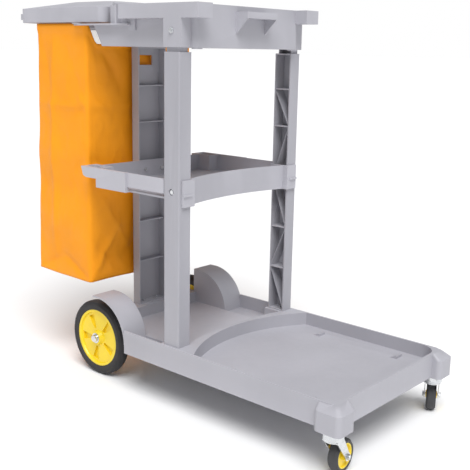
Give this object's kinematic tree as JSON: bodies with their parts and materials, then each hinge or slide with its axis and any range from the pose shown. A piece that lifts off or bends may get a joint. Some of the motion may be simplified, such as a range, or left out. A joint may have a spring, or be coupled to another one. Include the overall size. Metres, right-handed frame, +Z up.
{
  "type": "housekeeping cart",
  "caption": "Grey plastic housekeeping cart with a front platform, middle shelf, top tray, hinged lid over an orange fabric bag, large fixed rear wheels and swivelling front casters.",
  "frame": {"origin": "on the floor, in the cart's plane of symmetry, midway between the lid's rear lip and the front bumpers", "axes": "+X towards the front platform, +Y to the cart's left, +Z up"},
  "size_m": [1.145, 0.5239, 0.993],
  "materials": {
    "grey_plastic": "fine moulded texture, low sheen",
    "bag_fabric": "coated nylon, soft sheen",
    "yellow_plastic": "moulded, semi gloss",
    "tyre": "matt black",
    "caster_tyre": "dark grey, satin",
    "zinc": "bright zinc plating"
  },
  "bodies": {
    "root": {"base": "grey_plastic", "front_post_left": "grey_plastic", "front_post_right": "grey_plastic", "rear_post": "grey_plastic", "mid_shelf": "grey_plastic", "top_tray": "grey_plastic", "bag_frame": "grey_plastic", "bag": "bag_fabric", "caster_plate_left": "zinc", "caster_kingpin_left": "zinc", "caster_plate_right": "zinc", "caster_kingpin_right": "zinc", "lid_hinge_pins": "zinc", "rear_axle": "zinc", "wheel_washers": "zinc", "push_nuts": "zinc", "caster_screws": "zinc", "shelf_screws": "zinc", "shelf_washers": "zinc", "tray_screws": "zinc", "tray_washers": "zinc", "foot_screws": "zinc", "frame_screws": "zinc"},
    "lid": {"lid": "grey_plastic"},
    "wheel_left": {"wheel_centre_left": "yellow_plastic", "wheel_tyre_left": "tyre"},
    "caster_fork_left": {"caster_fork_left": "zinc", "caster_balls_left": "zinc", "caster_bolt_left": "zinc", "caster_nut_left": "zinc"},
    "caster_wheel_left": {"caster_centre_left": "yellow_plastic", "caster_tyre_left": "caster_tyre"},
    "wheel_right": {"wheel_centre_right": "yellow_plastic", "wheel_tyre_right": "tyre"},
    "caster_fork_right": {"caster_fork_right": "zinc", "caster_balls_right": "zinc", "caster_bolt_right": "zinc", "caster_nut_right": "zinc"},
    "caster_wheel_right": {"caster_centre_right": "yellow_plastic", "caster_tyre_right": "caster_tyre"}
  },
  "joints": [
    {"name": "lid_hinge", "type": "hinge", "parent": "root", "child": "lid", "pos_m": [-0.2005, 0, 0.98], "axis": [0, 1, 0], "range_deg": [0, 100]},
    {"name": "wheel_spin_left", "type": "hinge", "parent": "root", "child": "wheel_left", "pos_m": [-0.2555, 0.179, 0.103], "axis": [0, 1, 0], "continuous": true},
    {"name": "caster_swivel_left", "type": "hinge", "parent": "root", "child": "caster_fork_left", "pos_m": [0.5385, 0.213, 0.085], "axis": [0, 0, 1], "continuous": true},
    {"name": "caster_spin_left", "type": "hinge", "parent": "caster_fork_left", "child": "caster_wheel_left", "pos_m": [0.52306, 0.24329, 0.0375], "axis": [-0.891, -0.454, 0], "continuous": true},
    {"name": "wheel_spin_right", "type": "hinge", "parent": "root", "child": "wheel_right", "pos_m": [-0.2555, -0.179, 0.103], "axis": [0, 1, 0], "continuous": true},
    {"name": "caster_swivel_right", "type": "hinge", "parent": "root", "child": "caster_fork_right", "pos_m": [0.5385, -0.213, 0.085], "axis": [0, 0, 1], "continuous": true},
    {"name": "caster_spin_right", "type": "hinge", "parent": "caster_fork_right", "child": "caster_wheel_right", "pos_m": [0.53613, -0.17908, 0.0375], "axis": [-0.9976, -0.0698, 0], "continuous": true}
  ]
}
